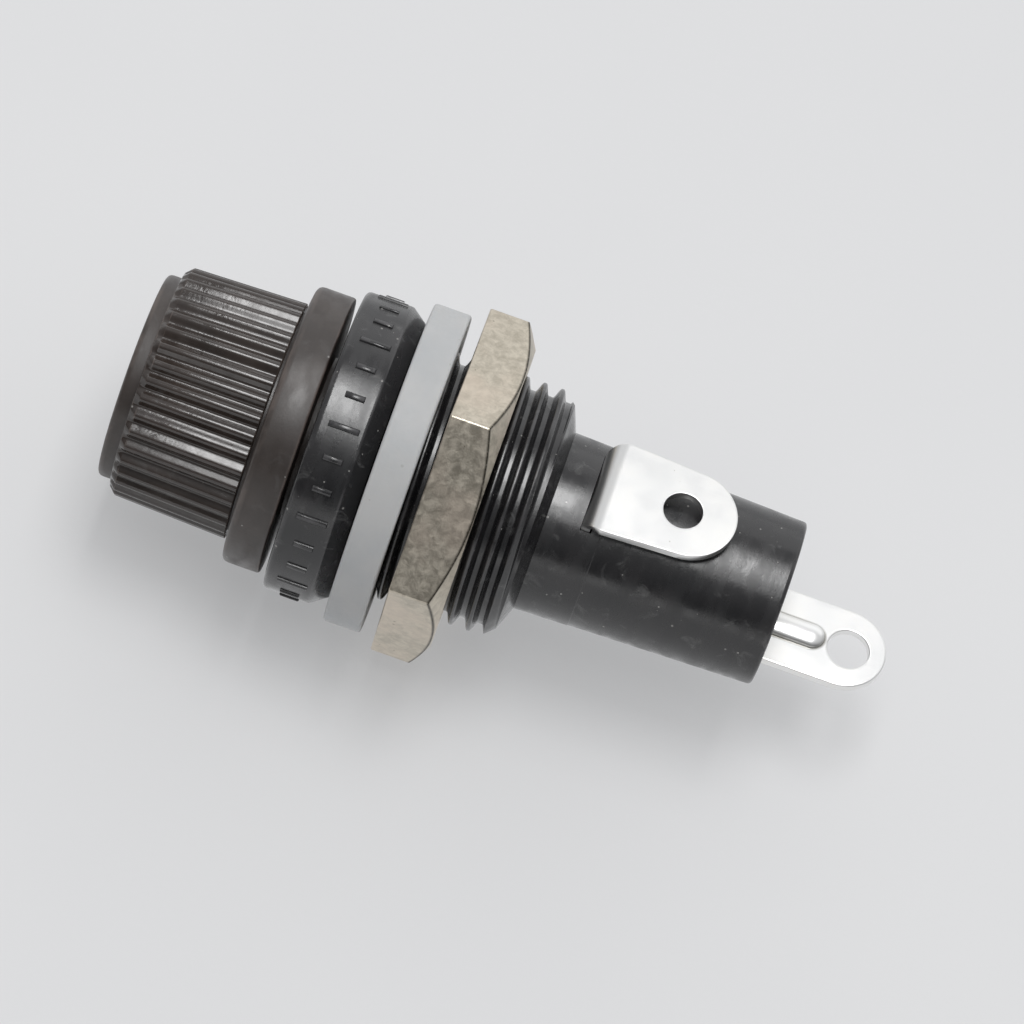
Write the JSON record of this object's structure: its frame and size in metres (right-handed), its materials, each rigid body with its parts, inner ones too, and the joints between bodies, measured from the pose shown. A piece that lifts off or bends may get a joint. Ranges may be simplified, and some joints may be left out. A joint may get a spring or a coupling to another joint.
{
  "type": "fuse holder",
  "caption": "Panel-mount holder for a 5 x 20 mm cartridge fuse: ribbed black screw cap, threaded body, hexagon nut, sealing washer and two solder lugs.",
  "frame": {"origin": "on the holder's axis, in the plane where the flange seats on its washer", "axes": "+X runs from the screw cap to the solder terminals, +Z points to the side terminal, +Y completes a right-handed frame"},
  "size_m": [0.0432, 0.0184, 0.0194],
  "materials": {
    "black_moulding": "moulded black thermosetting plastic",
    "tinned_brass": "bright tin plating over brass strip",
    "bare_brass": "drawn brass",
    "plated_steel": "dull nickel plating, slightly yellow",
    "pale_rubber": "light grey soft ring"
  },
  "bodies": {
    "body": {"holder_body": "black_moulding", "contact_sleeve": "bare_brass", "side_terminal": "tinned_brass", "end_terminal": "tinned_brass", "end_rivet": "tinned_brass"},
    "clip": {"fuse_clip": "bare_brass"},
    "cap": {"screw_cap": "black_moulding", "clip_rivet": "bare_brass"},
    "washer": {"sealing_washer": "pale_rubber"},
    "nut": {"hex_nut": "plated_steel"},
    "plunger": {"contact_plunger": "tinned_brass", "contact_spring": "plated_steel"}
  },
  "joints": [
    {"name": "cap_travel", "type": "slide", "parent": "body", "child": "clip", "axis": [-1, 0, 0], "range_m": [-0.0003, 0.015]},
    {"name": "cap_turn", "type": "hinge", "parent": "clip", "child": "cap", "pos_m": [0, 0, 0], "axis": [-1, 0, 0], "range_deg": [-72.5, 3600.5]},
    {"name": "nut_turn", "type": "hinge", "parent": "body", "child": "washer", "pos_m": [0, 0, 0], "axis": [1, 0, 0], "range_deg": [-252.5, 2232.5]},
    {"name": "nut_travel", "type": "slide", "parent": "washer", "child": "nut", "axis": [1, 0, 0], "range_m": [-0.0007, 0.0062]},
    {"name": "plunger_press", "type": "slide", "parent": "body", "child": "plunger", "axis": [1, 0, 0], "range_m": [0, 0.002], "stiffness_N_per_m": 950, "deforming": ["contact_spring"]}
  ],
  "couplings": [
    {"joint": "cap_turn", "follows": "cap_travel", "rad_per_m": 4188.8},
    {"joint": "nut_turn", "follows": "nut_travel", "rad_per_m": 6283.2}
  ]
}
